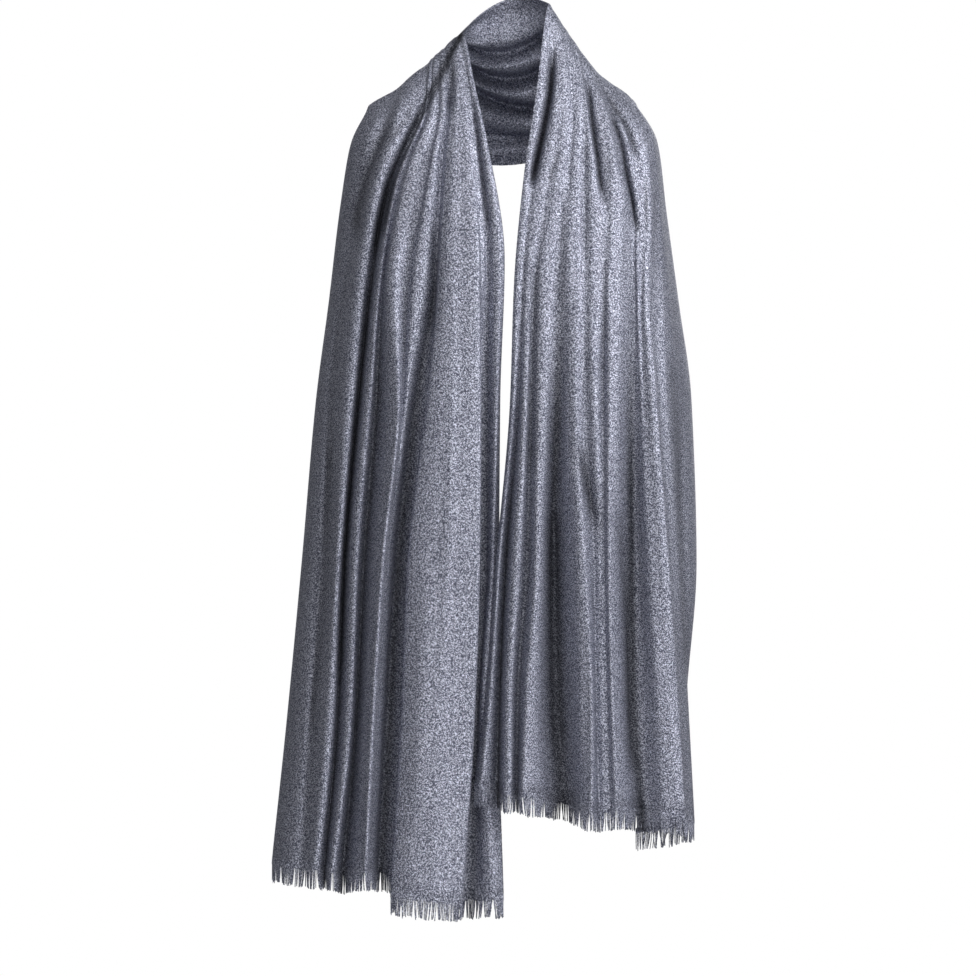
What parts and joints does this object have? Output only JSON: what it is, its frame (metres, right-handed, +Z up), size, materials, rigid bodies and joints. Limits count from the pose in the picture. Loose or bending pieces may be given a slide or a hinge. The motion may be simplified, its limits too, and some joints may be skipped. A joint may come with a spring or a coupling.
{
  "type": "pashmina shawl",
  "caption": "Grey-blue metallic pashmina shawl, draped over both shoulders with long folded fronts and fringed ends.",
  "frame": {"origin": "nape point, on the inner face of the cloth at centre back", "axes": "+Z up, -Y the way the wearer faces, +X towards the shorter front"},
  "size_m": [0.4601, 0.228, 1.0005],
  "materials": {
    "cloth": "soft weave with a fine metallic thread",
    "fringe": "loose silvery threads"
  },
  "bodies": {
    "root": {"front_left": "cloth", "front_right": "cloth", "back_neck": "cloth", "fringe_left": "fringe", "fringe_right": "fringe"}
  },
  "joints": []
}
